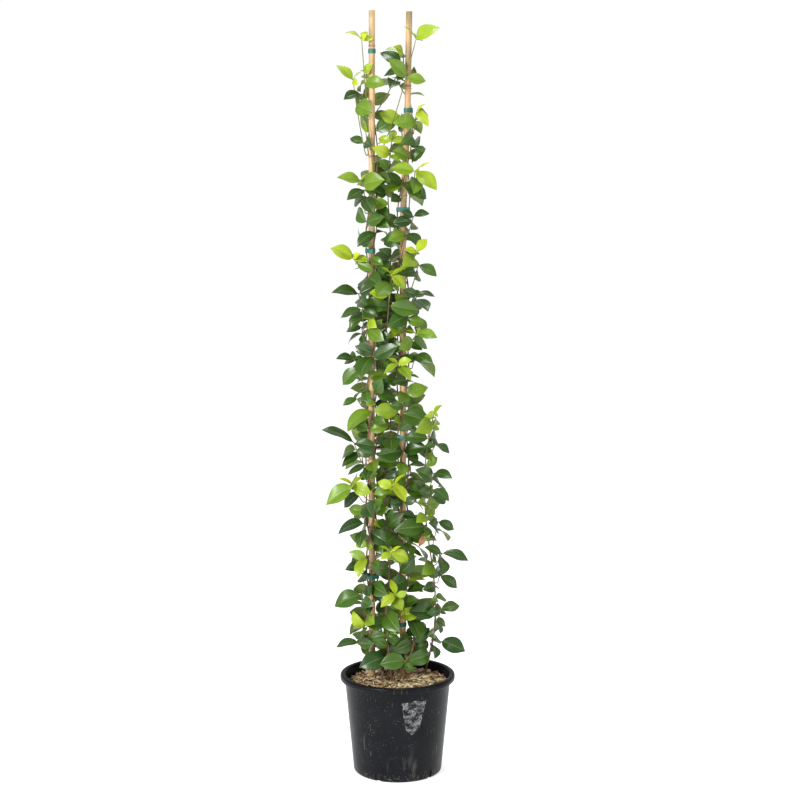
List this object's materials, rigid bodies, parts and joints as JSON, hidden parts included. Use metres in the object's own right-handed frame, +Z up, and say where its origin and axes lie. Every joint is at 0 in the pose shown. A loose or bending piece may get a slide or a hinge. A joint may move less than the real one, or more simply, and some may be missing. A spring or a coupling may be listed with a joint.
{
  "type": "star jasmine in a pot",
  "caption": "Tall evergreen climber with opposite glossy leaves, twined up two bamboo canes in a round black nursery pot.",
  "frame": {"origin": "middle of the pot's underside, on the ground", "axes": "+Z up along the canes, -Y towards the plant's front"},
  "size_m": [0.3042, 0.24, 1.5711],
  "materials": {
    "black_plastic": "satin",
    "root_ball": "matte",
    "wood_chips": "matte",
    "bamboo": "satin",
    "foliage": "satin",
    "young_foliage": "satin",
    "tape": "satin"
  },
  "bodies": {
    "root": {"cane_left": "bamboo", "cane_right": "bamboo", "mulch": "wood_chips", "pot": "black_plastic", "shoot_01": "young_foliage", "shoot_02": "young_foliage", "shoot_04": "young_foliage", "shoot_07": "young_foliage", "shoot_08": "young_foliage", "shoot_10": "young_foliage", "shoot_14": "young_foliage", "shoot_17": "young_foliage", "shoot_20": "young_foliage", "shoot_28": "young_foliage", "shoot_32": "young_foliage", "shoot_43": "young_foliage", "shoot_44": "young_foliage", "shoot_45": "young_foliage", "shoot_46": "young_foliage", "shoot_47": "young_foliage", "soil": "root_ball", "tie_1": "tape", "tie_2": "tape", "tie_3": "tape", "tie_4": "tape", "tie_5": "tape", "tie_6": "tape", "tie_7": "tape", "tie_8": "tape", "vine_1": "foliage", "vine_2": "foliage", "vine_3": "foliage", "vine_4": "foliage", "vine_5": "foliage", "vine_6": "foliage", "vine_7": "foliage", "vine_8": "foliage"}
  },
  "joints": []
}
